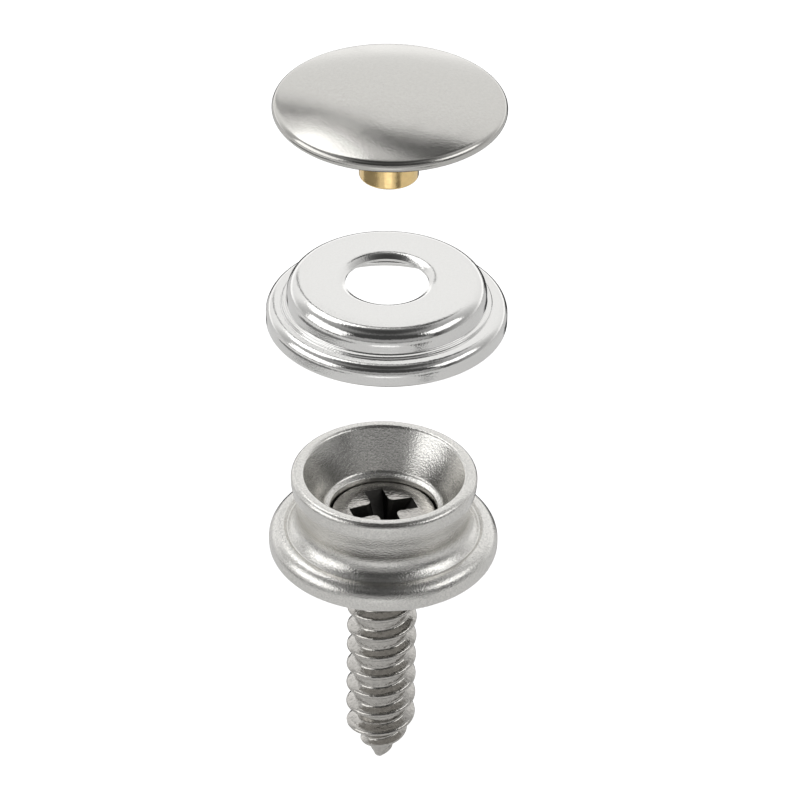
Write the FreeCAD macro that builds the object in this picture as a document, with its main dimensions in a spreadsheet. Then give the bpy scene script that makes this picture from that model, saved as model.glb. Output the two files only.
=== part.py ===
import FreeCAD, Part
import math
import os
import Sketcher

# Snap fastener for covers and canvas: cap, socket and screw stud on one upright axis.
# Millimetres, +Z up, origin at the centre of the stud's underside, where it meets the deck.
# The groups stand apart, one above the other, as they lie before the fastener is set.

os.makedirs("parts", exist_ok=True)
doc = FreeCAD.newDocument("snap_fastener")
table = doc.addObject("Spreadsheet::Sheet", "Sizes")
Vector = FreeCAD.Vector


class Size:
    """A length with its number and the formula that ties it to the table."""

    def __init__(self, number, formula):
        self.number = number
        self.formula = formula

    def __add__(self, other):
        return Size(self.number + other.number, f"({self.formula} + {other.formula})")

    def __sub__(self, other):
        return Size(self.number - other.number, f"({self.formula} - {other.formula})")

    def __mul__(self, factor):
        return Size(self.number * factor, f"({self.formula} * {factor})")


NONE = Size(0.0, "0")

# Where sheet slopes, its inner corners lie this share of the thickness below the outer ones
SLANT = 0.5
rows_used = []


def size(name, number, note):
    """Put one driving dimension in the table and return it."""
    rows_used.append(name)
    row = len(rows_used)
    table.set(f"A{row}", note)
    table.set(f"B{row}", str(number))
    table.setAlias(f"B{row}", name)
    return Size(float(number), f"Sizes.{name}")


# Cap: low domed button with an edge rolled under a brass eyelet
cap_radius = size("cap_radius", 7.5, "outer radius of the cap")
cap_rise = size("cap_rise", 1.75, "cap height from the rolled edge's underside to the crown")
cap_sheet = size("cap_sheet", 0.3, "sheet thickness of the cap")
cap_bend = size("cap_bend", 0.12, "inside radius of the rolled edge")
cap_lip = size("cap_lip", 0.75, "width of the flat part of the edge turned under")
post_radius = size("post_radius", 1.92, "outer radius of the eyelet's barrel")
post_wall = size("post_wall", 0.3, "wall of the eyelet's barrel")
post_reach = size("post_reach", 4.6, "barrel length below the cap's underside")
post_sheet = size("post_sheet", 0.25, "thickness of the eyelet's flange")
post_round = size("post_round", 0.35, "bend where the barrel meets its flange")
flange_play = size("flange_play", 0.06, "clearance round the eyelet's flange inside the cap")
post_tip = size("post_tip", 0.12, "rounding of the barrel's free end")

# Socket: pressed shell with a raised hub, a spring ring and the ring that keeps it in
socket_sheet = size("socket_sheet", 0.26, "sheet thickness of the socket shell")
hub_play = size("hub_play", 0.04, "clearance between the stud's rim and the hub round it")
hub_height = size("hub_height", 3.3, "height of the hub's top above the underside")
hub_round = size("hub_round", 0.52, "inside radius of the hub's shoulder")
hole_radius = size("hole_radius", 2.72, "radius of the centre hole")
hole_dish = size("hole_dish", 0.85, "width of the dished lip round the hole")
hole_drop = size("hole_drop", 0.16, "depth of the dished lip")
dish_round = size("dish_round", 0.6, "bend where the dished lip begins")
ring_width = size("ring_width", 1.35, "width of the outer ring outside the hub")
ring_height = size("ring_height", 1.5, "height of the outer ring at its inner side")
ring_fall = size("ring_fall", 0.1, "fall of the outer ring towards its edge")
ring_round = size("ring_round", 0.2, "inside radius of the outer ring's edge")
socket_edge = size("socket_edge", 0.26, "radius of the edge turned under")
socket_lip = size("socket_lip", 0.7, "width of the edge turned under")
retainer_sheet = size("retainer_sheet", 0.2, "sheet thickness of the retainer")
retainer_rise = size("retainer_rise", 0.45, "height of the retainer's outer wall")
retainer_play = size("retainer_play", 0.02, "clearance between the retainer and the shell round it")
wire_radius = size("wire_radius", 0.3, "radius of the spring's wire")
spring_play = size("spring_play", 0.03, "clearance between the spring and the floor below it")
spring_slack = size("spring_slack", 0.1, "clearance between the sprung ring and the undercut")
spring_gap = size("spring_gap", 24.0, "opening of the split ring, in degrees")

# Stud: one drawn sheet from the turned-under base edge to the floor under the screw's head
stud_sheet = size("stud_sheet", 0.45, "sheet thickness of the stud")
base_bend = size("base_bend", 0.3, "inside radius of the base's turned edge")
base_lip = size("base_lip", 0.95, "width of the base edge turned under")
bead_height = size("bead_height", 1.98, "height of the base bead")
bead_round = size("bead_round", 0.5, "inside radius of the bead's shoulder")
bead_width = size("bead_width", 0.99, "width of the bead outside its ridge")
groove_width = size("groove_width", 0.24, "width of the groove's outer side")
groove_depth = size("groove_depth", 0.22, "depth of the groove inside the ridge")
step_width = size("step_width", 0.84, "width of the step between the groove and the neck's root")
neck_inset = size("neck_inset", 0.62, "how far the neck's root lies inside the rim")
neck_height = size("neck_height", 2.45, "height of the neck's root")
neck_round = size("neck_round", 0.6, "hollow radius at the neck's root")
rim_radius = size("rim_radius", 6.2, "outer radius of the rim")
rim_height = size("rim_height", 6.25, "height of the rim's top")
rim_band = size("rim_band", 1.3, "height of the rim's upright band")
rim_round = size("rim_round", 0.38, "outside radius of the rim's top edge")
rim_face = size("rim_face", 0.78, "width of the rim's top face with its roundings")
funnel_round = size("funnel_round", 0.27, "bend where the rim's top turns down into the funnel")
snap_depth = size("snap_depth", 0.25, "undercut below the rim that the spring closes into")
snap_slope = size("snap_slope", 0.5, "height of the slope from the rim into the undercut")
funnel_foot = size("funnel_foot", 4.2, "radius at the funnel's foot")
funnel_depth = size("funnel_depth", 2.35, "depth of the funnel")
ledge_radius = size("ledge_radius", 3.6, "radius of the ledge round the screw's head")
ledge_drop = size("ledge_drop", 0.65, "drop from the funnel's foot to the ledge")
pocket_depth = size("pocket_depth", 0.8, "depth of the pocket that holds the screw's head")
pocket_draft = size("pocket_draft", 0.1, "how much the pocket narrows towards its floor")
floor_hole = size("floor_hole", 1.95, "radius of the hole in the stud's floor")

# Screw: raised head with a cross recess, plain neck, coarse right-handed thread and point
head_play = size("head_play", 0.05, "clearance between the head and its pocket")
seat_play = size("seat_play", 0.03, "clearance under the screw's head")
head_edge = size("head_edge", 0.5, "height of the head at its edge")
head_crown = size("head_crown", 0.42, "height of the head's crown above its edge")
head_round = size("head_round", 0.1, "rounding of the head's edge")
head_flat = size("head_flat", 1.0, "width of the head's slope between its edge and its flatter crown")
head_rise = size("head_rise", 0.12, "height of the flatter crown")
shank_play = size("shank_play", 0.12, "clearance between the plain neck and the floor's hole")
root_radius = size("root_radius", 1.72, "radius at the root of the thread")
crest_radius = size("crest_radius", 2.38, "radius at the crest of the thread")
thread_pitch = size("thread_pitch", 1.6, "pitch of the thread")
thread_top = size("thread_top", 1.3, "height where the thread starts below the floor")
tooth_crest = size("tooth_crest", 0.06, "half the thickness of the thread at its crest")
tooth_foot = size("tooth_foot", 0.58, "half the thickness of the thread at its foot")
tooth_sunk = size("tooth_sunk", 0.25, "depth of the thread's foot inside the core")
screw_reach = size("screw_reach", 17.6, "length of the screw below the base")
point_length = size("point_length", 4.4, "length of the screw's point")
point_tip = size("point_tip", 0.45, "bare length at the very tip")
point_width = size("point_width", 0.3, "radius of the thread where the point ends")
trim_length = size("trim_length", 3.3, "length of the point over which the crest narrows")
recess_span = size("recess_span", 2.36, "reach of the cross recess from the axis")
recess_width = size("recess_width", 0.56, "half the width of the recess at its mouth")
recess_depth = size("recess_depth", 1.75, "depth of the cross recess")
recess_corner = size("recess_corner", 0.31, "bevel of the inner corners between the arms")
recess_floor = size("recess_floor", 0.76, "reach of the recess at its floor")
recess_narrow = size("recess_narrow", 0.28, "half the width of the recess at its floor")
mouth_play = size("mouth_play", 0.1, "how far above the crown the recess is cut from")
recess_turn = size("recess_turn", 19.2, "turn of the recess about the axis, in degrees")

# Where the groups stand: how far each is lifted from its closed place
cloth = size("cloth", 1.5, "thickness of the cloth that the cap and the socket clamp")
roof_play = size("roof_play", 0.08, "clearance between the rim and the hub's inside")
socket_lift = size("socket_lift", 14.93, "lift of the socket from its snapped place")
cap_lift = size("cap_lift", 11.0, "lift of the cap from its seated place on the socket")
doc.recompute()

# Radii of what goes round the rim, and heights, that follow from the sizes above
hub_radius = rim_radius + hub_play + socket_sheet
socket_radius = hub_radius + ring_width
neck_radius = rim_radius - neck_inset
groove_radius = neck_radius + step_width
ridge_radius = groove_radius + groove_width
base_radius = ridge_radius + bead_width
undercut_height = rim_height - rim_band - snap_slope
socket_snapped = rim_height + roof_play - hub_height + socket_sheet
socket_level = socket_snapped + socket_lift
cap_level = socket_level + hub_height + cloth + cap_lift
spring_level = socket_sheet + retainer_sheet + spring_play + wire_radius
floor_top = rim_height - funnel_depth - ledge_drop - pocket_depth


def new_body(name, level):
    """Start a body with its own frame at the given height on the axis."""
    body = doc.addObject("PartDesign::Body", name)
    body.Label = name
    body.setExpression("Placement.Base.z", level.formula)
    return body


def new_sketch(body, name, role, height=NONE):
    """Attach a sketch to one of the body's own origin planes."""
    sketch = body.newObject("Sketcher::SketchObject", name)
    plane = [item for item in body.Origin.OriginFeatures if item.Role == role][0]
    sketch.AttachmentSupport = [(plane, "")]
    sketch.MapMode = "FlatFace"
    if height is not NONE:
        sketch.setExpression("AttachmentOffset.Base.z", height.formula)
    return sketch


def bind(sketch, rules, formulas):
    """Add the constraints in one step, then tie the dimensions to the table."""
    first = sketch.ConstraintCount
    sketch.addConstraint(rules)
    for index, formula in formulas:
        sketch.setExpression(f"Constraints[{first + index}]", formula)


def pin_point(rules, formulas, item, end, across, up):
    """Fix one point of a sketch at its distance from the axis and its height."""
    for kind, axis, value in (("DistanceX", -2, across), ("DistanceY", -1, up)):
        if value.number == 0.0:
            rules.append(Sketcher.Constraint("PointOnObject", item, end, axis))
        else:
            formulas.append((len(rules), value.formula))
            rules.append(Sketcher.Constraint(kind, -1, 1, item, end, value.number))


def draw_outline(sketch, corners):
    """Draw a closed outline; each corner is (radius, height, bend), and bend NONE is sharp."""
    count = len(corners)
    spots = [Vector(across.number, up.number, 0) for across, up, bend in corners]
    toward_last = [(spots[i - 1] - spots[i]).normalize() for i in range(count)]
    toward_next = [(spots[(i + 1) % count] - spots[i]).normalize() for i in range(count)]
    trims = []
    for i, (across, up, bend) in enumerate(corners):
        half = toward_last[i].getAngle(toward_next[i]) / 2
        trims.append(bend.number / math.tan(half))
    rules = []
    formulas = []
    for i in range(count):
        after = (i + 1) % count
        start = spots[i] + toward_next[i] * trims[i]
        end = spots[after] + toward_last[after] * trims[after]
        sketch.addGeometry(Part.LineSegment(start, end))
    for i, (across, up, bend) in enumerate(corners):
        before = (i - 1) % count
        if bend.number == 0.0:
            rules.append(Sketcher.Constraint("Coincident", before, 2, i, 1))
            pin_point(rules, formulas, i, 1, across, up)
            continue
        inward = (toward_last[i] + toward_next[i]).normalize()
        half = toward_last[i].getAngle(toward_next[i]) / 2
        centre = spots[i] + inward * (bend.number / math.sin(half))
        from_last = spots[i] + toward_last[i] * trims[i] - centre
        to_next = spots[i] + toward_next[i] * trims[i] - centre
        turns_left = toward_last[i].cross(toward_next[i]).z < 0
        first, second = (from_last, to_next) if turns_left else (to_next, from_last)
        begin = math.atan2(first.y, first.x)
        finish = math.atan2(second.y, second.x)
        if finish < begin:
            finish += 2 * math.pi
        circle = Part.Circle(centre, Vector(0, 0, 1), bend.number)
        arc = sketch.addGeometry(Part.ArcOfCircle(circle, begin, finish))
        corner = sketch.addGeometry(Part.Point(spots[i]), True)
        arc_in, arc_out = (1, 2) if turns_left else (2, 1)
        rules.append(Sketcher.Constraint("Tangent", before, 2, arc, arc_in))
        rules.append(Sketcher.Constraint("Tangent", arc, arc_out, i, 1))
        formulas.append((len(rules), bend.formula))
        rules.append(Sketcher.Constraint("Radius", arc, bend.number))
        rules.append(Sketcher.Constraint("PointOnObject", corner, 1, before))
        rules.append(Sketcher.Constraint("PointOnObject", corner, 1, i))
        pin_point(rules, formulas, corner, 1, across, up)
    bind(sketch, rules, formulas)


def spin(body, sketch, name, degrees=360.0):
    """Turn a section about the upright axis of its body."""
    turned = body.newObject("PartDesign::Revolution", name)
    turned.Profile = sketch
    turned.ReferenceAxis = (sketch, ["V_Axis"])
    turned.Angle = degrees
    sketch.Visibility = False
    return turned


def make_stud_shell():
    """The stud: bead, groove, neck and rim outside, then the funnel and floor inside."""
    body = new_body("stud_shell", NONE)
    section = new_sketch(body, "stud_section", "XZ_Plane")
    lip_end = base_radius - base_lip
    wall = base_radius - stud_sheet
    undercut = rim_radius - snap_depth
    funnel_top = rim_radius - rim_face
    foot = rim_height - funnel_depth
    ledge = foot - ledge_drop
    fold = rim_height - stud_sheet - rim_round
    slant = stud_sheet * SLANT
    outside = [
        (lip_end, NONE, NONE),
        (base_radius, NONE, base_bend + stud_sheet),
        (base_radius, bead_height, bead_round + stud_sheet),
        (ridge_radius, bead_height, NONE),
        (groove_radius, bead_height - groove_depth, NONE),
        (neck_radius, neck_height, neck_round),
        (undercut, undercut_height, rim_round),
        (rim_radius, undercut_height + snap_slope, rim_round),
        (rim_radius, rim_height, rim_round),
        (funnel_top, rim_height, funnel_round),
        (funnel_foot, foot, NONE),
        (ledge_radius, ledge, NONE),
        (ledge_radius - pocket_draft, floor_top, NONE),
        (floor_hole, floor_top, NONE),
    ]
    inside = [
        (floor_hole, floor_top - stud_sheet, NONE),
        (ledge_radius + stud_sheet - pocket_draft, floor_top - stud_sheet, NONE),
        (ledge_radius + stud_sheet, ledge - slant, NONE),
        (funnel_foot + stud_sheet, foot - slant, NONE),
        (rim_radius - stud_sheet - pocket_draft, fold, NONE),
        (rim_radius - stud_sheet, fold, NONE),
        (rim_radius - stud_sheet, undercut_height + snap_slope, NONE),
        (undercut - stud_sheet, undercut_height, NONE),
        (neck_radius - stud_sheet, neck_height - slant, neck_round + slant),
        (groove_radius, bead_height - groove_depth - stud_sheet, NONE),
        (wall, bead_height - stud_sheet, bead_round),
        (wall, stud_sheet, base_bend),
        (lip_end, stud_sheet, NONE),
    ]
    draw_outline(section, outside + inside)
    spin(body, section, "stud_turned")
    return body


def make_socket_shell():
    """The socket's cover: dished hole, hub, crease, outer ring and the edge turned under."""
    body = new_body("socket_shell", socket_level)
    section = new_sketch(body, "socket_section", "XZ_Plane")
    dish_out = hole_radius + hole_dish
    outer_rise = ring_height - ring_fall
    lip_end = socket_radius - socket_edge - socket_lip
    hub_inside = hub_radius - socket_sheet
    wall_inside = socket_radius - socket_sheet
    outside = [
        (hole_radius, hub_height - hole_drop, NONE),
        (dish_out, hub_height, dish_round),
        (hub_radius, hub_height, hub_round + socket_sheet),
        (hub_radius, ring_height, NONE),
        (socket_radius, outer_rise, ring_round + socket_sheet),
        (socket_radius, NONE, socket_edge),
        (lip_end, NONE, NONE),
    ]
    inside = [
        (lip_end, socket_sheet, NONE),
        (wall_inside, socket_sheet, NONE),
        (wall_inside, outer_rise - socket_sheet, ring_round),
        (hub_inside, ring_height - socket_sheet, NONE),
        (hub_inside, hub_height - socket_sheet, hub_round),
        (dish_out, hub_height - socket_sheet, NONE),
        (hole_radius, hub_height - hole_drop - socket_sheet, NONE),
    ]
    draw_outline(section, outside + inside)
    spin(body, section, "socket_turned")
    return body


def make_socket_retainer():
    """The shallow ring under the spring: a flat floor with an upturned outer wall."""
    body = new_body("socket_retainer", socket_level + socket_sheet)
    section = new_sketch(body, "retainer_section", "XZ_Plane")
    mouth = hub_radius - socket_sheet
    outer = socket_radius - socket_sheet - retainer_play
    draw_outline(section, [
        (mouth, NONE, NONE),
        (outer, NONE, NONE),
        (outer, retainer_rise, NONE),
        (outer - retainer_sheet, retainer_rise, NONE),
        (outer - retainer_sheet, retainer_sheet, NONE),
        (mouth, retainer_sheet, NONE),
    ])
    spin(body, section, "retainer_turned")
    return body


def make_socket_spring():
    """The split ring of round wire that closes into the stud's undercut."""
    body = new_body("socket_spring", socket_level + spring_level)
    section = new_sketch(body, "wire_section", "XZ_Plane")
    bend = rim_radius - snap_depth + wire_radius + spring_slack
    circle = Part.Circle(Vector(bend.number, 0, 0), Vector(0, 0, 1), wire_radius.number)
    section.addGeometry(circle)
    rules = []
    formulas = []
    pin_point(rules, formulas, 0, 3, bend, NONE)
    formulas.append((len(rules), wire_radius.formula))
    rules.append(Sketcher.Constraint("Radius", 0, wire_radius.number))
    bind(section, rules, formulas)
    ring = spin(body, section, "ring_turned")
    ring.setExpression("Angle", f"360 - {spring_gap.formula}")
    return body


def make_cap_shell():
    """The button: a dome that runs into the rolled edge, with the sheet the same all over."""
    body = new_body("cap_shell", cap_level)
    section = new_sketch(body, "cap_section", "XZ_Plane")
    cap_edge = cap_bend + cap_sheet
    edge_across = cap_radius - cap_edge
    across, edge = edge_across.number, cap_edge.number
    crown, thick = cap_rise.number, cap_sheet.number
    above = crown - edge
    dome = (across ** 2 + above ** 2 - edge ** 2) / (2 * (above - edge))
    dome_centre = Vector(0, crown - dome, 0)
    edge_centre = Vector(across, edge, 0)
    lean = edge_centre - dome_centre
    tilt = math.atan2(lean.y, lean.x)
    lip = (edge_across - cap_lip).number
    straight_down = -math.pi / 2
    straight_up = math.pi / 2

    def arc(centre, radius, begin, finish):
        circle = Part.Circle(centre, Vector(0, 0, 1), radius)
        return section.addGeometry(Part.ArcOfCircle(circle, begin, finish))

    def line(start, end):
        return section.addGeometry(Part.LineSegment(Vector(*start, 0), Vector(*end, 0)))

    dome_out = arc(dome_centre, dome, tilt, straight_up)
    edge_out = arc(edge_centre, edge, straight_down, tilt)
    under = line((across, 0), (lip, 0))
    lip_end = line((lip, 0), (lip, thick))
    over = line((lip, thick), (across, thick))
    edge_in = arc(edge_centre, cap_bend.number, straight_down, tilt)
    dome_in = arc(dome_centre, dome - thick, tilt, straight_up)
    axis = line((0, crown - thick), (0, crown))

    rules = [
        Sketcher.Constraint("PointOnObject", dome_out, 3, -2),
        Sketcher.Constraint("Coincident", dome_out, 2, axis, 2),
        Sketcher.Constraint("PointOnObject", axis, 1, -2),
        Sketcher.Constraint("Tangent", dome_out, 1, edge_out, 2),
        Sketcher.Constraint("Tangent", edge_out, 1, under, 1),
        Sketcher.Constraint("Horizontal", under),
        Sketcher.Constraint("Coincident", under, 2, lip_end, 1),
        Sketcher.Constraint("Vertical", lip_end),
        Sketcher.Constraint("Coincident", lip_end, 2, over, 1),
        Sketcher.Constraint("Horizontal", over),
        Sketcher.Constraint("Tangent", over, 2, edge_in, 1),
        Sketcher.Constraint("Coincident", edge_in, 3, edge_out, 3),
        Sketcher.Constraint("Tangent", edge_in, 2, dome_in, 1),
        Sketcher.Constraint("Coincident", dome_in, 3, dome_out, 3),
        Sketcher.Constraint("Coincident", dome_in, 2, axis, 1),
    ]
    formulas = []
    pin_point(rules, formulas, axis, 2, NONE, cap_rise)
    pin_point(rules, formulas, edge_out, 3, edge_across, cap_edge)
    formulas.append((len(rules), cap_edge.formula))
    rules.append(Sketcher.Constraint("Radius", edge_out, edge))
    formulas.append((len(rules), cap_bend.formula))
    rules.append(Sketcher.Constraint("Radius", edge_in, cap_bend.number))
    formulas.append((len(rules), (edge_across - cap_lip).formula))
    rules.append(Sketcher.Constraint("DistanceX", -1, 1, lip_end, 1, lip))
    bind(section, rules, formulas)
    spin(body, section, "cap_turned")
    return body


def make_cap_post():
    """The brass eyelet: a hollow barrel with a flange caught in the cap's rolled edge."""
    body = new_body("cap_post", cap_level - post_reach)
    section = new_sketch(body, "post_section", "XZ_Plane")
    flange = cap_radius - cap_bend - cap_sheet - flange_play
    flange_level = post_reach + cap_sheet
    bore = post_radius - post_wall
    draw_outline(section, [
        (bore, NONE, NONE),
        (post_radius, NONE, post_tip),
        (post_radius, flange_level, post_round),
        (flange, flange_level, NONE),
        (flange, flange_level + post_sheet, NONE),
        (bore, flange_level + post_sheet, post_round + post_sheet),
    ])
    spin(body, section, "post_turned")
    return body


def add_thread(body, name, pitch, height, angle, downward):
    """Wind one stretch of the thread, upward on the shank or downward along the point.

    The core's surface between two turns stays a face of its own for each turn.
    """
    tooth = new_sketch(body, name + "_tooth", "XZ_Plane")
    middle = point_length - screw_reach
    foot = root_radius - tooth_sunk
    draw_outline(tooth, [
        (foot, middle - tooth_foot, NONE),
        (crest_radius, middle - tooth_crest, NONE),
        (crest_radius, middle + tooth_crest, NONE),
        (foot, middle + tooth_foot, NONE),
    ])
    thread = body.newObject("PartDesign::AdditiveHelix", name)
    thread.Profile = tooth
    thread.ReferenceAxis = (tooth, ["V_Axis"])
    thread.Mode = "pitch-height-angle"
    thread.LeftHanded = False
    thread.Refine = False
    thread.Reversed = downward
    thread.setExpression("Pitch", pitch.formula)
    thread.setExpression("Height", height.formula)
    thread.setExpression("Angle", angle)
    tooth.Visibility = False
    doc.recompute()
    return thread


def draw_cross(sketch, reach, half_width):
    """Outline of the cross recess at one depth, with bevelled inner corners."""
    side = half_width.number
    beyond = side + recess_corner.number
    arm = [(reach.number, -side), (reach.number, side), (beyond, side), (side, beyond)]
    spots = []
    for quarter in range(4):
        turn = math.radians(90 * quarter)
        for x, y in arm:
            across = x * math.cos(turn) - y * math.sin(turn)
            along = x * math.sin(turn) + y * math.cos(turn)
            spots.append(Vector(across, along, 0))
    for i, spot in enumerate(spots):
        sketch.addGeometry(Part.LineSegment(spot, spots[(i + 1) % len(spots)]))
    joins = [
        Sketcher.Constraint("Coincident", i, 2, (i + 1) % len(spots), 1)
        for i in range(len(spots))
    ]
    sketch.addConstraint(joins)


def make_screw():
    """The screw: head, neck, core and point turned in one, then the recess and the thread."""
    head_radius = ledge_radius - pocket_draft - head_play
    head_level = floor_top + seat_play
    neck = floor_hole - shank_play
    body = new_body("screw", NONE)
    section = new_sketch(body, "screw_section", "XZ_Plane")
    tip_level = NONE - screw_reach
    crown_level = head_level + head_edge + head_crown
    draw_outline(section, [
        (NONE, tip_level, NONE),
        (root_radius, tip_level + point_length, NONE),
        (root_radius, thread_top, NONE),
        (neck, thread_top + shank_play, NONE),
        (neck, head_level, NONE),
        (head_radius, head_level, NONE),
        (head_radius, head_level + head_edge, head_round),
        (head_radius - head_flat, crown_level - head_rise, NONE),
        (NONE, crown_level, NONE),
    ])
    spin(body, section, "screw_turned")
    mouth = new_sketch(body, "recess_mouth", "XY_Plane", crown_level + mouth_play)
    draw_cross(mouth, recess_span, recess_width)
    end = new_sketch(body, "recess_end", "XY_Plane", crown_level - recess_depth)
    draw_cross(end, recess_floor, recess_narrow)
    for sketch in (mouth, end):
        sketch.setExpression("AttachmentOffset.Rotation.Angle", recess_turn.formula)
    recess = body.newObject("PartDesign::SubtractiveLoft", "recess")
    recess.Profile = mouth
    recess.Sections = [end]
    recess.Ruled = True
    shank_length = thread_top - tip_level - point_length
    add_thread(body, "shank_thread", thread_pitch, shank_length, "0", False)
    lean = f"-atan({root_radius.formula} / {point_length.formula})"
    add_thread(body, "point_thread", thread_pitch, point_length - point_tip, lean, True)
    trim = new_sketch(body, "point_trim", "XZ_Plane")
    beyond = crest_radius + crest_radius
    draw_outline(trim, [
        (point_width, tip_level, NONE),
        (crest_radius, tip_level + trim_length, NONE),
        (beyond, tip_level + trim_length, NONE),
        (beyond, tip_level - thread_pitch, NONE),
        (point_width, tip_level - thread_pitch, NONE),
    ])
    point = body.newObject("PartDesign::Groove", "point")
    point.Profile = trim
    point.ReferenceAxis = (trim, ["V_Axis"])
    point.Angle = 360
    point.Refine = False
    trim.Visibility = False
    return body


pieces = [
    make_stud_shell(),
    make_screw(),
    make_socket_spring(),
    make_socket_shell(),
    make_socket_retainer(),
    make_cap_shell(),
    make_cap_post(),
]
doc.recompute()

for item in doc.Objects:
    if "Invalid" in item.State or "Error" in item.State:
        raise RuntimeError(f"{item.Name} failed: {item.State}")
for piece in pieces:
    shape = piece.Shape
    if shape.isNull() or not shape.isValid() or len(shape.Solids) != 1:
        raise RuntimeError(f"{piece.Label} is not one sound solid")
    shape.exportStep(f"parts/{piece.Label}.step")
    box = shape.BoundBox
    print(piece.Label, "volume", round(shape.Volume, 2), "z", round(box.ZMin, 2), round(box.ZMax, 2))
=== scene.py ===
import math

import bmesh
import bpy
from mathutils import Matrix, Vector


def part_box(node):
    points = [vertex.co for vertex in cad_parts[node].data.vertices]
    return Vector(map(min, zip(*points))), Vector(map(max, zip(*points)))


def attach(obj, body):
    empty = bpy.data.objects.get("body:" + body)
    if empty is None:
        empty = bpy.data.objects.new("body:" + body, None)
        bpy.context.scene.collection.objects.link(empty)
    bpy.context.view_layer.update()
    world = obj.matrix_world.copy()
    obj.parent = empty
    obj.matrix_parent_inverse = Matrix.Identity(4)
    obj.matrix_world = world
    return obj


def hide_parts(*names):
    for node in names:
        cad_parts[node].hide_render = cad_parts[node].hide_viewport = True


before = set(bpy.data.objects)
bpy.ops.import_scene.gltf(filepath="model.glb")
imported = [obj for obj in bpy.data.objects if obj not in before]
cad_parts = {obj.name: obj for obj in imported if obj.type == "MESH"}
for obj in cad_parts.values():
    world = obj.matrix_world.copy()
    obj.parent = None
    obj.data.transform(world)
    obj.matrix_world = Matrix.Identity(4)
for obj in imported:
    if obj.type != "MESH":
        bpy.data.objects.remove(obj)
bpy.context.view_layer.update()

# Stud shell: one disc of stainless sheet, drawn up into a hollow rim and back down into a funnel
# that holds the screw's head. Its outer edge is rolled into the bead that stands on the deck.
# It leaves the press satin, with the fine speckle that tumbling gives it.

MM = 0.001


def bend_corners(corners, closed):
    """Turn (radius, height, bend) corners in mm into points, with each bend as an arc."""
    widest_step, least_steps = math.radians(9), 3
    count = len(corners)
    spots = [Vector((corner[0], corner[1])) for corner in corners]
    points = []
    for i, corner in enumerate(corners):
        bend = corner[2] if len(corner) > 2 else 0.0
        if bend == 0.0 or (not closed and i in (0, count - 1)):
            points.append(spots[i])
            continue
        back = (spots[i - 1] - spots[i]).normalized()
        ahead = (spots[(i + 1) % count] - spots[i]).normalized()
        half = back.angle(ahead) / 2
        centre = spots[i] + (back + ahead).normalized() * (bend / math.sin(half))
        start = spots[i] + back * (bend / math.tan(half)) - centre
        end = spots[i] + ahead * (bend / math.tan(half)) - centre
        sweep = start.angle_signed(end)
        steps = max(least_steps, int(abs(sweep) / widest_step))
        for k in range(steps + 1):
            turn = -sweep * k / steps
            across = start.x * math.cos(turn) - start.y * math.sin(turn)
            up = start.x * math.sin(turn) + start.y * math.cos(turn)
            points.append(centre + Vector((across, up)))
    return hold_flats(points, closed)


def hold_flats(points, closed):
    """Add a point just inside each end of a long straight, so that it shades flat."""
    margin = 0.05
    held = []
    for i, point in enumerate(points):
        held.append(point)
        if not closed and i == len(points) - 1:
            break
        after = points[(i + 1) % len(points)]
        run = (after - point).length
        if run > 5 * margin:
            held.append(point.lerp(after, margin / run))
            held.append(after.lerp(point, margin / run))
    return held


def spin_outline(name, points, closed, base=0.0, around=224):
    """Spin an outline (mm) about the axis, with its zero height at base (m)."""
    on_axis, weld = 1e-6, 1e-7
    shape = bmesh.new()
    rings = []
    for point in points:
        if point.x < on_axis:
            rings.append([shape.verts.new((0, 0, base + point.y * MM))])
            continue
        ring = []
        for k in range(around):
            angle = 2 * math.pi * k / around
            place = (math.cos(angle) * point.x * MM, math.sin(angle) * point.x * MM)
            ring.append(shape.verts.new((*place, base + point.y * MM)))
        rings.append(ring)
    pairs = list(zip(rings, rings[1:]))
    if closed:
        pairs.append((rings[-1], rings[0]))
    for low, high in pairs:
        for k in range(around):
            after = (k + 1) % around
            loop = [low[k % len(low)], low[after % len(low)],
                    high[after % len(high)], high[k % len(high)]]
            kept = [vert for j, vert in enumerate(loop) if vert is not loop[j - 1]]
            if len(kept) > 2:
                shape.faces.new(kept)
    bmesh.ops.remove_doubles(shape, verts=shape.verts, dist=weld)
    bmesh.ops.recalc_face_normals(shape, faces=shape.faces)
    return smooth_piece(name, shape)


def make_piece(name, shape):
    """Put a finished shape into the scene as an object."""
    mesh = bpy.data.meshes.new(name)
    shape.to_mesh(mesh)
    shape.free()
    piece = bpy.data.objects.new(name, mesh)
    bpy.context.scene.collection.objects.link(piece)
    return piece


def smooth_piece(name, shape, crease=32.0):
    """Make a piece that shades smooth, except across creases sharper than this many degrees."""
    piece = make_piece(name, shape)
    piece.data.shade_smooth()
    piece.data.set_sharp_from_angle(angle=math.radians(crease))
    return piece


def seat(piece, material, body, slot, *nodes):
    """Give a piece its metal, hang it on its body and let it stand for its plain solids."""
    piece.data.materials.clear()
    piece.data.materials.append(material)
    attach(piece, body)
    if nodes:
        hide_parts(*nodes)


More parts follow.
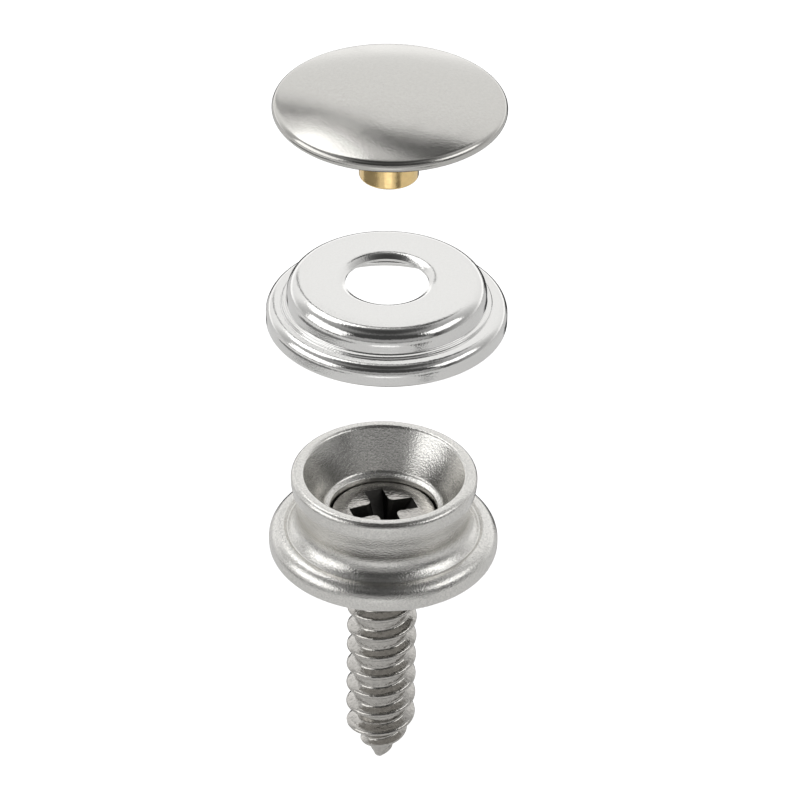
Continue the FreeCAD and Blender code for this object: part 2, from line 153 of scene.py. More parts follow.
def metal(name, colour, rough, speckle, relief, cloud, marks=0.0):
    """A bare metal: its grain's size and relief and the depth of its radial marks, in mm."""
    haze_size, marks_around = 2.6, 34.0
    least_share, most_share = 0.3, 0.7
    smoothest, roughest = 0.8, 1.25
    skin = bpy.data.materials.new(name)
    skin.use_nodes = True
    tree = skin.node_tree
    shader = tree.nodes["Principled BSDF"]
    shader.inputs["Metallic"].default_value = 1.0
    place = tree.nodes.new("ShaderNodeTexCoord")

    grain = tree.nodes.new("ShaderNodeTexNoise")
    grain.inputs["Scale"].default_value = 1 / (speckle * MM)
    grain.inputs["Detail"].default_value = 3.0
    tree.links.new(place.outputs["Object"], grain.inputs["Vector"])

    haze = tree.nodes.new("ShaderNodeTexNoise")
    haze.inputs["Scale"].default_value = 1 / (haze_size * MM)
    haze.inputs["Detail"].default_value = 4.0
    tree.links.new(place.outputs["Object"], haze.inputs["Vector"])

    dull = tree.nodes.new("ShaderNodeMapRange")
    dull.inputs["From Min"].default_value = least_share
    dull.inputs["From Max"].default_value = most_share
    dull.inputs["To Min"].default_value = rough * smoothest
    dull.inputs["To Max"].default_value = rough * roughest
    tree.links.new(haze.outputs["Fac"], dull.inputs["Value"])
    tree.links.new(dull.outputs["Result"], shader.inputs["Roughness"])

    tone = tree.nodes.new("ShaderNodeValToRGB")
    darker, paler = tone.color_ramp.elements
    darker.position = least_share
    paler.position = most_share
    darker.color = (*[c * (1 - cloud) for c in colour], 1)
    paler.color = (*[min(c * (1 + cloud), 1) for c in colour], 1)
    tree.links.new(grain.outputs["Fac"], tone.inputs["Fac"])
    tree.links.new(tone.outputs["Color"], shader.inputs["Base Color"])

    height = tree.nodes.new("ShaderNodeMath")
    height.operation = "MULTIPLY"
    height.inputs[1].default_value = relief
    tree.links.new(grain.outputs["Fac"], height.inputs[0])
    if marks:
        outward = tree.nodes.new("ShaderNodeVectorMath")
        outward.operation = "MULTIPLY"
        outward.inputs[1].default_value = (1, 1, 0)
        tree.links.new(place.outputs["Object"], outward.inputs[0])
        turn = tree.nodes.new("ShaderNodeVectorMath")
        turn.operation = "NORMALIZE"
        tree.links.new(outward.outputs["Vector"], turn.inputs[0])
        scratch = tree.nodes.new("ShaderNodeTexNoise")
        scratch.inputs["Scale"].default_value = marks_around
        scratch.inputs["Detail"].default_value = 2.0
        tree.links.new(turn.outputs["Vector"], scratch.inputs["Vector"])
        total = tree.nodes.new("ShaderNodeMath")
        total.operation = "MULTIPLY_ADD"
        total.inputs[1].default_value = marks
        tree.links.new(scratch.outputs["Fac"], total.inputs[0])
        tree.links.new(height.outputs[0], total.inputs[2])
        height = total
    bump = tree.nodes.new("ShaderNodeBump")
    bump.inputs["Strength"].default_value = 1.0
    bump.inputs["Distance"].default_value = MM
    tree.links.new(height.outputs[0], bump.inputs["Height"])
    tree.links.new(bump.outputs["Normal"], shader.inputs["Normal"])
    return skin


sheet = 0.45
tight_bend = 0.1
base_lip, base_bend = 6.7, 0.75
bead_radius, bead_top, bead_bend = 7.65, 1.98, 0.95
ridge_radius, groove_radius, groove_floor = 6.66, 6.42, 1.76
neck_radius, neck_foot, foot_bend, inner_foot_bend = 5.58, 2.45, 1.3, 0.825
undercut_radius, undercut_top, undercut_bend = 5.92, 4.3, 4.0
band_foot, band_bend = 5.4, 3.0
rim_radius, rim_top, rim_face, rim_bend, face_bend = 6.2, 6.25, 0.78, 0.38, 0.266
throat_radius, throat_top, throat_bend = 3.97, 3.46, 0.3
funnel_radius, funnel_foot = 4.2, 3.9
ledge_radius, ledge_top, ledge_rise, ledge_draft = 3.6, 3.25, 0.08, 0.1
floor_top, floor_hole = 2.45, 1.95
stud_outline = [
    (base_lip, 0.0), (bead_radius, 0.0, base_bend), (bead_radius, bead_top, bead_bend),
    (ridge_radius, bead_top, tight_bend), (groove_radius, groove_floor, tight_bend),
    (neck_radius, neck_foot, foot_bend), (undercut_radius, undercut_top, undercut_bend),
    (rim_radius, band_foot, band_bend), (rim_radius, rim_top, rim_bend),
    (rim_radius - rim_face, rim_top, face_bend), (throat_radius, throat_top, throat_bend),
    (ledge_radius, ledge_top + ledge_rise, tight_bend),
    (ledge_radius - ledge_draft, floor_top, tight_bend),
    (floor_hole, floor_top), (floor_hole, floor_top - sheet),
    (ledge_radius + sheet - ledge_draft, floor_top - sheet, sheet),
    (ledge_radius + sheet, ledge_top - sheet / 2, tight_bend),
    (funnel_radius + sheet, funnel_foot - sheet / 2, sheet),
    (rim_radius - sheet, rim_top - sheet - rim_bend, tight_bend),
    (undercut_radius - sheet, undercut_top, sheet),
    (neck_radius - sheet, neck_foot - sheet / 2, inner_foot_bend),
    (groove_radius, groove_floor - sheet, sheet),
    (bead_radius - sheet, bead_top - sheet, bead_bend - sheet),
    (bead_radius - sheet, sheet, base_bend - sheet), (base_lip, sheet),
]
satin_steel = metal("satin_steel", (0.66, 0.65, 0.625), rough=0.22, speckle=0.12, relief=0.019, cloud=0.14)
stud = spin_outline("stud_shell_drawn", bend_corners(stud_outline, True), True)
seat(stud, satin_steel, "stud", "satin_steel", "stud_shell")

# Screw: cold-headed stainless wire with a rolled thread, a plain neck in the stud's floor and a
# gimlet point. The cross recess is punched into the raised head, which turns in its pocket.

tip_level = -17.6
thread_top, thread_foot = 1.3, 0.3
thread_pitch = 1.6
root_radius, crest_radius = 1.72, 2.38
point_length, crest_length, point_radius = 4.4, 3.3, 0.3
tooth_profile = ((0.2, 0.0), (0.27, 0.08), (0.46, 0.96), (0.54, 0.96), (0.73, 0.08), (0.8, 0.0))
steps_a_turn, steps_a_tooth = 72, 21
head_radius, head_level, head_edge, head_crown = 3.45, 2.48, 0.5, 0.42
neck = 1.83
crown_level = head_level + head_edge + head_crown
recess_turn, recess_depth, recess_mouth_play = 19.2, 1.75, 0.1
mouth_reach, mouth_half_width = 2.4, 0.66
bottom_reach, bottom_half_width = 0.77, 0.32
edge_break = 0.08


def build_thread_tree():
    """The wound surface of shank and thread, as a grid rolled up along the helix."""
    point_fullness, fade_share, weld = 0.62, 3.0, 0.002 * MM
    tree = bpy.data.node_groups.new("rolled_thread", "GeometryNodeTree")
    sizes = (("Pitch", thread_pitch), ("Root", root_radius), ("Crest", crest_radius),
             ("Length", thread_top - tip_level), ("Point", point_length),
             ("Taper", crest_length), ("Tip", point_radius), ("Low", tip_level))
    for label, value in sizes:
        entry = tree.interface.new_socket(label, in_out="INPUT", socket_type="NodeSocketFloat")
        entry.default_value = value * MM
    skin = tree.interface.new_socket("Metal", in_out="INPUT", socket_type="NodeSocketMaterial")
    tree.interface.new_socket("Geometry", in_out="OUTPUT", socket_type="NodeSocketGeometry")
    given = tree.nodes.new("NodeGroupInput").outputs
    result = tree.nodes.new("NodeGroupOutput").inputs

    def calc(operation, *values, clamp=False):
        node = tree.nodes.new("ShaderNodeMath")
        node.operation = operation
        node.use_clamp = clamp
        for socket, value in zip(node.inputs, values):
            if isinstance(value, (int, float)):
                socket.default_value = value
            else:
                tree.links.new(value, socket)
        return node.outputs[0]

    turns = (thread_top - tip_level) / thread_pitch + 1
    whole_turns = int(turns * steps_a_turn) / steps_a_turn
    grid = tree.nodes.new("GeometryNodeMeshGrid")
    grid.inputs["Size X"].default_value = 1.0
    grid.inputs["Size Y"].default_value = 1.0
    grid.inputs["Vertices X"].default_value = int(turns * steps_a_turn) + 1
    grid.inputs["Vertices Y"].default_value = steps_a_tooth
    spot = tree.nodes.new("GeometryNodeInputPosition")
    split = tree.nodes.new("ShaderNodeSeparateXYZ")
    tree.links.new(spot.outputs[0], split.inputs[0])
    share = calc("ADD", split.outputs["X"], 0.5)
    wound = calc("SUBTRACT", calc("MULTIPLY", share, whole_turns), 1.0)
    along = calc("ADD", split.outputs["Y"], 0.5)
    rise = calc("MULTIPLY", calc("ADD", wound, along), given["Pitch"])
    level = calc("MINIMUM", calc("MAXIMUM", rise, 0.0), given["Length"])
    above, below = calc("GREATER_THAN", rise, 0.0), calc("LESS_THAN", rise, given["Length"])
    inside = calc("MULTIPLY", above, below)

    root_share = calc("DIVIDE", level, given["Point"], clamp=True)
    root = calc("MULTIPLY", given["Root"], calc("POWER", root_share, point_fullness))
    crest_share = calc("DIVIDE", level, given["Taper"], clamp=True)
    spread = calc("MULTIPLY", calc("SUBTRACT", given["Crest"], given["Tip"]), crest_share)
    crest = calc("MAXIMUM", calc("ADD", given["Tip"], spread), root)
    tooth = tree.nodes.new("ShaderNodeFloatCurve")
    curve = tooth.mapping.curves[0]
    curve.points[0].location = (0.0, 0.0)
    curve.points[1].location = (1.0, 0.0)
    for across, height in tooth_profile:
        curve.points.new(across, height)
    tooth.mapping.update()
    tree.links.new(along, tooth.inputs["Value"])
    fade = calc("DIVIDE", level, calc("MULTIPLY", given["Tip"], fade_share), clamp=True)
    faded = calc("MULTIPLY", tooth.outputs[0], fade)
    reach = calc("MULTIPLY", faded, calc("SUBTRACT", crest, root))
    radius = calc("MULTIPLY", calc("ADD", root, reach), inside)

    angle = calc("MULTIPLY", wound, 2 * math.pi)
    place = tree.nodes.new("ShaderNodeCombineXYZ")
    tree.links.new(calc("MULTIPLY", radius, calc("COSINE", angle)), place.inputs["X"])
    tree.links.new(calc("MULTIPLY", radius, calc("SINE", angle)), place.inputs["Y"])
    tree.links.new(calc("ADD", level, given["Low"]), place.inputs["Z"])
    roll = tree.nodes.new("GeometryNodeSetPosition")
    tree.links.new(grid.outputs["Mesh"], roll.inputs["Geometry"])
    tree.links.new(place.outputs[0], roll.inputs["Position"])
    join = tree.nodes.new("GeometryNodeMergeByDistance")
    join.inputs["Distance"].default_value = weld
    tree.links.new(roll.outputs[0], join.inputs["Geometry"])
    real = tree.nodes.new("GeometryNodeRealizeInstances")
    tree.links.new(join.outputs[0], real.inputs[0])
    coat = tree.nodes.new("GeometryNodeSetMaterial")
    tree.links.new(real.outputs[0], coat.inputs["Geometry"])
    tree.links.new(given[skin.name], coat.inputs["Material"])
    tree.links.new(coat.outputs[0], result["Geometry"])
    return tree, skin.identifier


def grow_thread(name, skin):
    """Run the thread's tree once and keep its result as a plain mesh."""
    thread_crease, weld = 40.0, 1e-7
    carrier = bpy.data.objects.new("thread_carrier", bpy.data.meshes.new("thread_carrier"))
    bpy.context.scene.collection.objects.link(carrier)
    tree, metal_input = build_thread_tree()
    wound = carrier.modifiers.new("thread", "NODES")
    wound.node_group = tree
    wound[metal_input] = skin
    view = bpy.context.evaluated_depsgraph_get()
    mesh = bpy.data.meshes.new_from_object(carrier.evaluated_get(view))
    carrier.modifiers.clear()
    bpy.data.objects.remove(carrier)
    shape = bmesh.new()
    shape.from_mesh(mesh)
    bmesh.ops.dissolve_degenerate(shape, dist=weld, edges=shape.edges)
    bmesh.ops.recalc_face_normals(shape, faces=shape.faces)
    return smooth_piece(name, shape, thread_crease)


def cross_spots(reach, half_width, level):
    """Corner places of the cross recess at one level, with its inner corners rounded."""
    corner_steps, corner_share = 4, 0.62
    nose = half_width * corner_share
    arm = [(reach, -half_width), (reach, half_width)]
    for step in range(corner_steps + 1):
        turned = math.radians(270 - 90 * step / corner_steps)
        across = half_width + nose + nose * math.cos(turned)
        along = half_width + nose + nose * math.sin(turned)
        arm.append((across, along))
    spots = []
    for quarter in range(4):
        swing = Matrix.Rotation(math.radians(90 * quarter + recess_turn), 2)
        for corner in arm:
            spot = swing @ Vector(corner)
            spots.append((spot.x * MM, spot.y * MM, level * MM))
    return spots


def punch_recess(head):
    """Cut the tapered cross into the head and break its edges."""
    softened_edge, head_crease = math.radians(35), math.radians(38)
    shape = bmesh.new()
    mouth_level = crown_level + recess_mouth_play
    bottom_level = crown_level - recess_depth
    mouth = [shape.verts.new(spot) for spot in cross_spots(mouth_reach, mouth_half_width, mouth_level)]
    bottom = [shape.verts.new(spot) for spot in cross_spots(bottom_reach, bottom_half_width, bottom_level)]
    count = len(mouth)
    for i in range(count):
        after = (i + 1) % count
        shape.faces.new((mouth[i], mouth[after], bottom[after], bottom[i]))
    shape.faces.new(mouth)
    shape.faces.new(bottom)
    bmesh.ops.recalc_face_normals(shape, faces=shape.faces)
    punch = smooth_piece("punch", shape)
    cut = head.modifiers.new("recess", "BOOLEAN")
    cut.object = punch
    cut.solver = "EXACT"
    soften = head.modifiers.new("edges", "BEVEL")
    soften.width = edge_break * MM
    soften.segments = 3
    soften.limit_method = "ANGLE"
    soften.angle_limit = softened_edge
    view = bpy.context.evaluated_depsgraph_get()
    mesh = bpy.data.meshes.new_from_object(head.evaluated_get(view))
    head.modifiers.clear()
    head.data = mesh
    bpy.data.objects.remove(punch)
    head.data.shade_smooth()
    head.data.set_sharp_from_angle(angle=head_crease)


def paint_recess_shade(head, skin):
    """Paint shade into the recess: its sunk walls and bottom get the near-black second metal."""
    rim, slack = 0.1, 0.02
    head.data.materials.append(skin)
    for face in head.data.polygons:
        spots = [head.data.vertices[index].co / MM for index in face.vertices]
        low = min(spots, key=lambda spot: spot.z)
        off_axis = math.hypot(low.x, low.y)
        crown = crown_level - head_crown * (off_axis / head_radius) ** 2
        sunk = crown_level - recess_depth - slack < low.z < crown - rim
        in_neck = off_axis < neck - rim
        in_head = low.z > head_level + slack and off_axis < mouth_reach + rim
        if sunk and (in_neck or in_head):
            face.material_index = 1


screw_steel = metal("screw_steel", (0.48, 0.465, 0.44), rough=0.15, speckle=0.22, relief=0.026, cloud=0.16)
thread = grow_thread("screw_thread", screw_steel)
seat(thread, screw_steel, "screw", "screw_steel", "screw")
crown_station, crown_bend = 0.72, 1.72
head_outline = [
    (0.0, thread_top - thread_foot), (neck, thread_top - thread_foot), (neck, head_level),
    (head_radius, head_level, tight_bend), (head_radius, head_level + head_edge, tight_bend),
    (head_radius * crown_station, head_level + head_edge + head_crown * crown_station, crown_bend),
    (0.0, crown_level),
]
head = spin_outline("screw_head", bend_corners(head_outline, False), False)
punch_recess(head)
seat(head, screw_steel, "screw", "screw_steel")
# Painted shade for the cross recess: a near-black, rough metal with a dark edge tint.
recess_painted_shade = metal("recess_painted_shade", (0.05, 0.048, 0.045), rough=0.42, speckle=0.2, relief=0.012, cloud=0.1)
recess_shade_edge_tint = (0.1, 0.1, 0.1, 1)
recess_painted_shade.node_tree.nodes["Principled BSDF"].inputs["Specular Tint"].default_value = recess_shade_edge_tint
paint_recess_shade(head, recess_painted_shade)

# Socket shell: a stainless pressing with a dished hole, a raised hub and an outer ring whose edge
# is crimped under the retainer. It is polished bright, so that it mirrors the room.

socket_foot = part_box("socket_shell")[0].z
socket_radius, socket_sheet, socket_edge = 7.85, 0.26, 0.26
hub_radius, hub_top, shoulder_bend, inner_shoulder_bend = 6.5, 3.3, 0.95, 0.52
ring_top, ring_edge, ring_bend, inner_ring_bend, inner_edge_bend = 1.5, 1.4, 0.65, 0.46, 0.2
hole_radius, dish_radius, hole_top, dish_bend = 2.72, 3.57, 3.14, 0.6
crimp_radius = 6.89
lip_drop, lip_width, lip_bend = 0.1, 0.42, 0.9
crown_start, crown_fall, hub_crown_bend = 4.9, 0.16, 14.0
step_height, step_width, step_slope, step_bend = 0.18, 0.3, 0.06, 0.12
socket_outline = [
    (hole_radius, hole_top - lip_drop), (hole_radius + lip_width, hub_top, lip_bend),
    (crown_start, hub_top, hub_crown_bend), (hub_radius, hub_top - crown_fall, shoulder_bend),
    (hub_radius, ring_top + step_height, step_bend),
    (hub_radius + step_width, ring_top + step_height, step_bend),
    (hub_radius + step_width + step_slope, ring_top, tight_bend),
    (socket_radius, ring_edge, ring_bend), (socket_radius, 0.0, socket_edge),
    (crimp_radius, 0.0), (crimp_radius, socket_sheet), (socket_radius - socket_sheet, socket_sheet),
    (socket_radius - socket_sheet, ring_edge - socket_sheet, inner_edge_bend),
    (hub_radius - socket_sheet, ring_top - socket_sheet, inner_ring_bend),
    (hub_radius - socket_sheet, hub_top - socket_sheet, inner_shoulder_bend),
    (dish_radius, hub_top - socket_sheet, dish_bend), (hole_radius, hole_top - socket_sheet),
]
bright_steel = metal("bright_steel", (0.72, 0.715, 0.7), rough=0.11, speckle=0.1, relief=0.006,
                     cloud=0.03, marks=0.0035)
socket = spin_outline("socket_shell_pressed", bend_corners(socket_outline, True), True, socket_foot)
seat(socket, bright_steel, "socket", "polished_steel", "socket_shell")
# Each group in the photograph was lit alone, so none of them shows in another's mirror.
socket.visible_glossy = False

# Retainer: a shallow stainless ring with an upturned wall, pressed from thin sheet. The socket's
# turned-under edge holds it, and it keeps the spring in.

retainer_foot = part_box("socket_retainer")[0].z
retainer_sheet, retainer_rise, retainer_play = 0.2, 0.45, 0.02
mouth_radius = hub_radius - socket_sheet
retainer_radius = socket_radius - socket_sheet - retainer_play
retainer_outline = [
    (mouth_radius, 0.0), (retainer_radius, 0.0), (retainer_radius, retainer_rise),
    (retainer_radius - retainer_sheet, retainer_rise),
    (retainer_radius - retainer_sheet, retainer_sheet), (mouth_radius, retainer_sheet),
]
retainer_points = bend_corners(retainer_outline, True)
retainer = spin_outline("socket_retainer_pressed", retainer_points, True, retainer_foot)
seat(retainer, bright_steel, "socket", "polished_steel", "socket_retainer")
retainer.visible_glossy = False

# Spring: a split ring of round, hardened wire with its ends tumbled round. It lies loose between
# retainer and shell, so that it can open as the stud's rim passes and close under it.


def bend_wire(name, radius, wire, level, opening):
    """A split ring of round wire with domed ends, level and radii in mm."""
    around, section, dome_share = 160, 20, 0.3
    sweep = 2 * math.pi - opening
    rings = [(opening / 2 + sweep * k / around, 1.0) for k in range(around + 1)]
    dome = [(math.cos(math.radians(a)), math.sin(math.radians(a))) for a in (15, 35, 55, 75)]
    dome_turn = wire / radius * dome_share
    start = [(opening / 2 - dome_turn * out, size) for size, out in dome]
    finish = [(2 * math.pi - opening / 2 + dome_turn * out, size) for size, out in dome]
    shape = bmesh.new()
    loops = []
    for angle, scale in start[::-1] + rings + finish:
        loop = []
        for k in range(section):
            turn = 2 * math.pi * k / section
            across = radius + wire * scale * math.cos(turn)
            up = level + wire * scale * math.sin(turn)
            place = (across * math.cos(angle) * MM, across * math.sin(angle) * MM, up * MM)
            loop.append(shape.verts.new(place))
        loops.append(loop)
    for first, second in zip(loops, loops[1:]):
        for k in range(section):
            after = (k + 1) % section
            shape.faces.new((first[k], first[after], second[after], second[k]))
    shape.faces.new(loops[0])
    shape.faces.new(loops[-1])
    bmesh.ops.recalc_face_normals(shape, faces=shape.faces)
    return smooth_piece(name, shape)


spring_low, spring_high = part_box("socket_spring")
wire_radius = (spring_high.z - spring_low.z) / 2 / MM
spring_level = (spring_high.z + spring_low.z) / 2 / MM
spring_bend, spring_gap = 6.35, math.radians(24.5)
spring_steel = metal("spring_steel", (0.66, 0.66, 0.67), rough=0.25, speckle=0.2, relief=0.003, cloud=0.05)
spring = bend_wire("spring_wire", spring_bend, wire_radius, spring_level, spring_gap)
seat(spring, spring_steel, "spring", "spring_steel", "socket_spring")
spring.visible_glossy = False

# Cap shell: a low stainless dome, its edge rolled under a brass eyelet's flange. It is buffed to
# a soft mirror, with the faint haze that buffing leaves.

cap_low, cap_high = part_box("cap_shell")
cap_radius, cap_sheet, cap_bend = 7.5, 0.3, 0.12
cap_edge = cap_sheet + cap_bend
cap_rise = (cap_high.z - cap_low.z) / MM
cap_lip_width = 0.75


def cap_outline():
    """The dome, the rolled edge round its rim and the sheet's inner face, all as arcs."""
    dome_steps, edge_steps, bend_steps, inner_steps = 40, 18, 10, 24
    across = cap_radius - cap_edge
    above = cap_rise - cap_edge
    dome = (across ** 2 + above ** 2 - cap_edge ** 2) / (2 * (above - cap_edge))
    tilt = math.atan2(across, dome - above)
    dome_centre = cap_rise - dome

    def sweep(centre, radius, begin, finish, steps):
        turns = [begin + (finish - begin) * k / steps for k in range(steps + 1)]
        return [Vector(centre) + radius * Vector((math.sin(turn), math.cos(turn))) for turn in turns]

    outer = sweep((0, dome_centre), dome, 0.0, tilt, dome_steps)[:-1]
    edge = sweep((across, cap_edge), cap_edge, tilt, math.pi, edge_steps)
    lip = [Vector((across - cap_lip_width, 0.0)), Vector((across - cap_lip_width, cap_sheet))]
    inner_edge = sweep((across, cap_edge), cap_bend, math.pi, tilt, bend_steps)
    inner = sweep((0, dome_centre), dome - cap_sheet, tilt, 0.0, inner_steps)[1:]
    return outer + edge + lip + inner_edge + inner


cap_steel = metal("cap_steel", (0.545, 0.535, 0.51), rough=0.17, speckle=0.18, relief=0.003, cloud=0.03)
cap = spin_outline("cap_shell_buffed", cap_outline(), False, cap_low.z)
seat(cap, cap_steel, "cap", "polished_steel", "cap_shell")
cap.visible_glossy = False

# Cap post: the brass eyelet, drawn in one piece from a flat flange into a hollow barrel. Its
# flange is trapped in the cap's rolled edge, and its free end is left to be rolled over.

post_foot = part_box("cap_post")[0].z
post_radius, post_wall = 1.92, 0.3
post_reach, post_sheet = 4.6, 0.25
bore_bend, tip_bend, flange_bend, flange_mouth = 0.05, 0.12, 0.35, 0.6
flange_level = post_reach + cap_sheet
flange_play = 0.06
flange_radius = cap_radius - cap_edge - flange_play
bore_radius = post_radius - post_wall
post_outline = [
    (bore_radius, 0.0, bore_bend), (post_radius, 0.0, tip_bend),
    (post_radius, flange_level, flange_bend),
    (flange_radius, flange_level), (flange_radius, flange_level + post_sheet),
    (bore_radius, flange_level + post_sheet, flange_mouth),
]
brass = metal("brass", (0.88, 0.65, 0.31), rough=0.18, speckle=0.3, relief=0.006, cloud=0.07)
post = spin_outline("cap_post_drawn", bend_corners(post_outline, True), True, post_foot)
seat(post, brass, "cap", "brass", "cap_post")
post.visible_glossy = False

# Floor: a plain white sheet just under the screw's point, as wide as the view needs. It isn't
# part of the object, and it is clear from below.


def plain_sheet(name, colour, corners):
    """A flat stage piece of one matt colour."""
    shape = bmesh.new()
    shape.faces.new([shape.verts.new(corner) for corner in corners])
    piece = make_piece(name, shape)
    paint = bpy.data.materials.new(name)
    paint.use_nodes = True
    shader = paint.node_tree.nodes["Principled BSDF"]
    shader.inputs["Base Color"].default_value = (*colour, 1)
    shader.inputs["Roughness"].default_value = 0.9
    piece.data.materials.append(paint)
    return piece


floor_gap = 0.2 * MM
floor_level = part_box("screw")[0].z - floor_gap
floor_half = 1.2
seen_glow, mirrored_glow = 0.72, 0.22
floor = plain_sheet("floor", (0.93, 0.93, 0.93), [
    (-floor_half, -floor_half, floor_level), (floor_half, -floor_half, floor_level),
    (floor_half, floor_half, floor_level), (-floor_half, floor_half, floor_level),
])


def whiten_floor(paint, seen_glow, mirrored_glow):
    """White to the camera, greyer in mirrors, still shadowed; clear when looked at from below."""
    tree = paint.node_tree
    shader = tree.nodes["Principled BSDF"]
    output = tree.nodes["Material Output"]
    glow = tree.nodes.new("ShaderNodeEmission")
    glow.inputs["Color"].default_value = (1.0, 1.0, 1.0, 1)
    rays = tree.nodes.new("ShaderNodeLightPath")
    seen = tree.nodes.new("ShaderNodeMath")
    seen.operation = "MULTIPLY"
    seen.inputs[1].default_value = seen_glow
    tree.links.new(rays.outputs["Is Camera Ray"], seen.inputs[0])
    total = tree.nodes.new("ShaderNodeMath")
    total.operation = "MULTIPLY_ADD"
    total.inputs[1].default_value = mirrored_glow
    tree.links.new(rays.outputs["Is Glossy Ray"], total.inputs[0])
    tree.links.new(seen.outputs[0], total.inputs[2])
    tree.links.new(total.outputs[0], glow.inputs["Strength"])
    both = tree.nodes.new("ShaderNodeAddShader")
    tree.links.new(shader.outputs[0], both.inputs[0])
    tree.links.new(glow.outputs[0], both.inputs[1])
    below = tree.nodes.new("ShaderNodeNewGeometry")
    clear = tree.nodes.new("ShaderNodeBsdfTransparent")
    one_sided = tree.nodes.new("ShaderNodeMixShader")
    tree.links.new(below.outputs["Backfacing"], one_sided.inputs["Fac"])
    tree.links.new(both.outputs[0], one_sided.inputs[1])
    tree.links.new(clear.outputs[0], one_sided.inputs[2])
    tree.links.new(one_sided.outputs[0], output.inputs["Surface"])


whiten_floor(floor.data.materials[0], seen_glow, mirrored_glow)

# Light: soft boxes at the left, right and upper left, with dark strips between them. The strips
# are for the bright metal to mirror, as in a studio; the camera and the floor don't see them.

lit_centre = Vector((0, 0, 0.015))


def direction(azimuth, elevation, distance):
    """A place seen from the object; azimuth 0 is behind it, 90 to its right."""
    turn, lift = math.radians(azimuth), math.radians(elevation)
    level = math.cos(lift)
    return lit_centre + distance * Vector((math.sin(turn) * level, math.cos(turn) * level, math.sin(lift)))


def soft_box(name, azimuth, elevation, distance, half_across, half_up, brightness):
    """A lamp with its place and half sizes as angles in degrees, as the object sees them."""
    lamp = bpy.data.lights.new(name, "AREA")
    lamp.shape = "RECTANGLE"
    lamp.size = 2 * distance * math.tan(math.radians(half_across))
    lamp.size_y = 2 * distance * math.tan(math.radians(half_up))
    lamp.energy = brightness * math.pi * lamp.size * lamp.size_y
    box = bpy.data.objects.new(name, lamp)
    box.location = direction(azimuth, elevation, distance)
    box.rotation_euler = (lit_centre - box.location).to_track_quat("-Z", "Y").to_euler()
    bpy.context.scene.collection.objects.link(box)


def mirror_card(name, near, far, tone):
    """A card between two rows of places, seen in mirrors only."""
    shape = bmesh.new()
    low = [shape.verts.new(spot) for spot in near]
    high = [shape.verts.new(spot) for spot in far]
    for k in range(len(low) - 1):
        shape.faces.new((low[k], low[k + 1], high[k + 1], high[k]))
    strip = make_piece(name, shape)
    paint = bpy.data.materials.new(name)
    paint.use_nodes = True
    shader = paint.node_tree.nodes["Principled BSDF"]
    shader.inputs["Base Color"].default_value = (0, 0, 0, 1)
    shader.inputs["Specular IOR Level"].default_value = 0.0
    shader.inputs["Emission Color"].default_value = (1, 1, 1, 1)
    shader.inputs["Emission Strength"].default_value = tone
    strip.data.materials.append(paint)
    strip.visible_camera = False
    strip.visible_diffuse = False
    strip.visible_transmission = False
    strip.visible_shadow = False


def arch(name, stations, distance, tone):
    """A card bent through (azimuth, lower, upper) stations in degrees."""
    mirror_card(name, [direction(turn, lower, distance) for turn, lower, upper in stations],
                [direction(turn, upper, distance) for turn, lower, upper in stations], tone)


def ground_card(name, near, far, tone):
    """A card that lies on the floor between two rows of (across, along) places in mm."""
    card_gap = 0.1 * MM
    level = floor_level + card_gap
    mirror_card(name, [(x * MM, y * MM, level) for x, y in near],
                [(x * MM, y * MM, level) for x, y in far], tone)


soft_box("left_box", azimuth=-108, elevation=23, distance=0.5, half_across=24, half_up=17, brightness=1.55)
soft_box("right_box", azimuth=106, elevation=37, distance=0.5, half_across=20, half_up=11, brightness=1.55)
soft_box("upper_left_box", azimuth=-38, elevation=56, distance=0.6, half_across=13, half_up=10,
         brightness=1.6)

arch("arched_strip", ((-24, 16, 24), (-20, 25, 36), (-15, 37, 46), (-8, 47, 54),
                      (0, 51, 58), (10, 52, 61), (20, 50, 64), (34, 48, 68)), distance=0.7, tone=0.1)
arch("front_glow", ((130, 2, 22), (150, 2, 23), (180, 2, 24), (210, 2, 23), (230, 2, 22)),
     distance=0.8, tone=0.42)
ground_card("far_wedge", ((-1, 4), (1, 4)), ((-170, 350), (250, 350)), tone=0.05)
ground_card("near_gleam", ((-24, -100), (20, -100)), ((-24, -76), (20, -76)), tone=1.7)
ground_card("near_shade", ((36, -84), (60, -80)), ((36, -50), (60, -50)), tone=0.15)
ground_card("left_shade", ((-120, -80), (-46, -80)), ((-120, 30), (-70, 30)), tone=0.22)

# Room: pale behind the object, darker at the sides, and darkest over and in front of it. Only
# the metal mirrors it so: the camera sees white, and everything is lit by one even grey.

even_light, mirrored_strength = 0.35, 1.55
room = bpy.data.worlds.new("pale_room")
bpy.context.scene.world = room
room.use_nodes = True
air = room.node_tree
lighting = air.nodes["Background"]
lighting.inputs["Color"].default_value = (0.9, 0.9, 0.9, 1)
lighting.inputs["Strength"].default_value = even_light
outlook = air.nodes.new("ShaderNodeTexCoord")
sides = air.nodes.new("ShaderNodeSeparateXYZ")
air.links.new(outlook.outputs["Generated"], sides.inputs[0])


def wall_tones(label, source, low, tones):
    """Grey levels against one part of the direction, from low to 1."""
    spread = air.nodes.new("ShaderNodeMapRange")
    spread.label = label
    spread.inputs["From Min"].default_value = low
    air.links.new(source, spread.inputs["Value"])
    ramp = air.nodes.new("ShaderNodeValToRGB")
    stops = ramp.color_ramp.elements
    stops[0].position = 0.0
    stops[0].color = (tones[0][1], tones[0][1], tones[0][1], 1)
    stops[1].position = 1.0
    stops[1].color = (tones[-1][1], tones[-1][1], tones[-1][1], 1)
    for level, tone in tones[1:-1]:
        stop = stops.new((level - low) / (1 - low))
        stop.color = (tone, tone, tone, 1)
    air.links.new(spread.outputs["Result"], ramp.inputs["Fac"])
    return ramp.outputs["Color"]


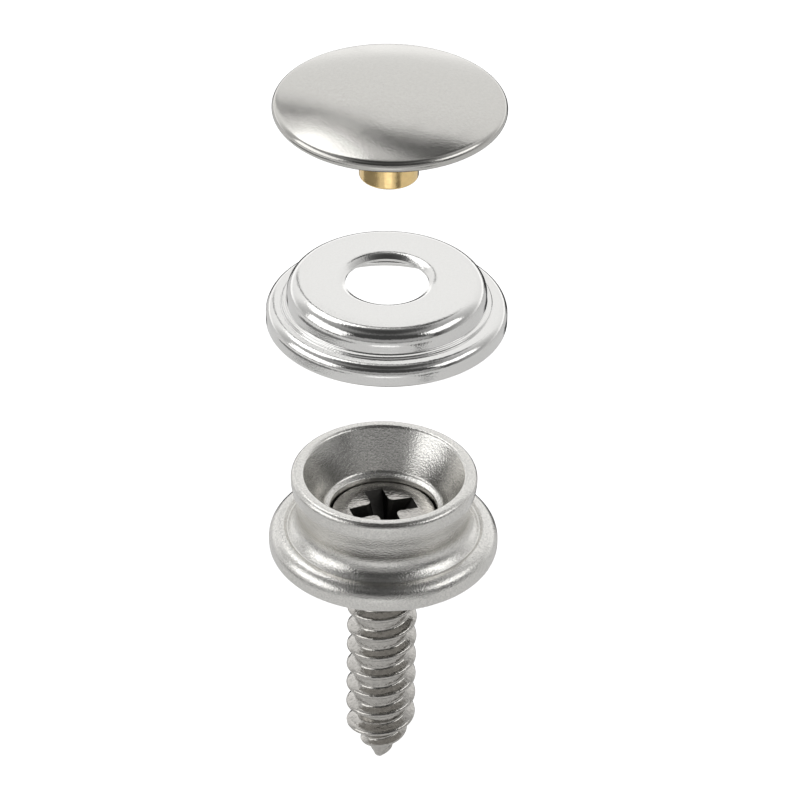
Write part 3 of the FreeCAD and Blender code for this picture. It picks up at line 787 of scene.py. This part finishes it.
depth_tones = wall_tones("front to back", sides.outputs["Y"], -1.0, (
    (-1.0, 0.05), (-0.55, 0.055), (-0.3, 0.26), (0.2, 0.45), (0.45, 0.64), (0.6, 0.92), (1.0, 1.0)))
height_tones = wall_tones("floor to ceiling", sides.outputs["Z"], 0.0, (
    (0.0, 0.95), (0.1, 0.95), (0.2, 0.7), (0.35, 0.72),
    (0.6, 0.76), (0.88, 0.76), (0.94, 0.2), (1.0, 0.1)))
walls = air.nodes.new("ShaderNodeVectorMath")
walls.operation = "MULTIPLY"
air.links.new(depth_tones, walls.inputs[0])
air.links.new(height_tones, walls.inputs[1])
mirrored = air.nodes.new("ShaderNodeBackground")
mirrored.inputs["Strength"].default_value = mirrored_strength
air.links.new(walls.outputs["Vector"], mirrored.inputs["Color"])
white = air.nodes.new("ShaderNodeBackground")
white.inputs["Color"].default_value = (1, 1, 1, 1)
white.inputs["Strength"].default_value = 1.0
rays = air.nodes.new("ShaderNodeLightPath")
clear = air.nodes.new("ShaderNodeMath")
clear.operation = "MAXIMUM"
air.links.new(rays.outputs["Is Camera Ray"], clear.inputs[0])
air.links.new(rays.outputs["Is Transmission Ray"], clear.inputs[1])
for seen, view in ((rays.outputs["Is Glossy Ray"], mirrored), (clear.outputs[0], white)):
    pick = air.nodes.new("ShaderNodeMixShader")
    air.links.new(seen, pick.inputs["Fac"])
    air.links.new(lighting.outputs[0], pick.inputs[1])
    air.links.new(view.outputs[0], pick.inputs[2])
    lighting = pick
air.links.new(lighting.outputs[0], air.nodes["World Output"].inputs["Surface"])

# Camera: a long lens 350 mm away, 34 degrees above the horizon. It is turned a little and
# shifted sideways, as the photograph's frame is.

camera_distance = 0.35
camera_lift = math.radians(34.19)
camera_roll = math.radians(0.89)
pixels_a_mm = 15.22
axis_shift_px = 14.7
image_px = 800
sensor_width = 36.0
aim_level = 0.012
lens = bpy.data.cameras.new("camera")
lens.sensor_width = sensor_width
lens.lens = pixels_a_mm * camera_distance / MM * sensor_width / image_px
lens.shift_x = axis_shift_px / image_px
lens.clip_start = 0.01
lens.clip_end = 10.0
camera = bpy.data.objects.new("camera", lens)
aim = Vector((0, 0, aim_level))
camera.location = aim + Vector((0, -math.cos(camera_lift), math.sin(camera_lift))) * camera_distance
facing = (aim - camera.location).to_track_quat("-Z", "Y")
camera.rotation_euler = (facing.to_matrix() @ Matrix.Rotation(camera_roll, 3, "Z")).to_euler()
bpy.context.scene.collection.objects.link(camera)
bpy.context.scene.camera = camera
bpy.context.scene.view_settings.view_transform = "Standard"
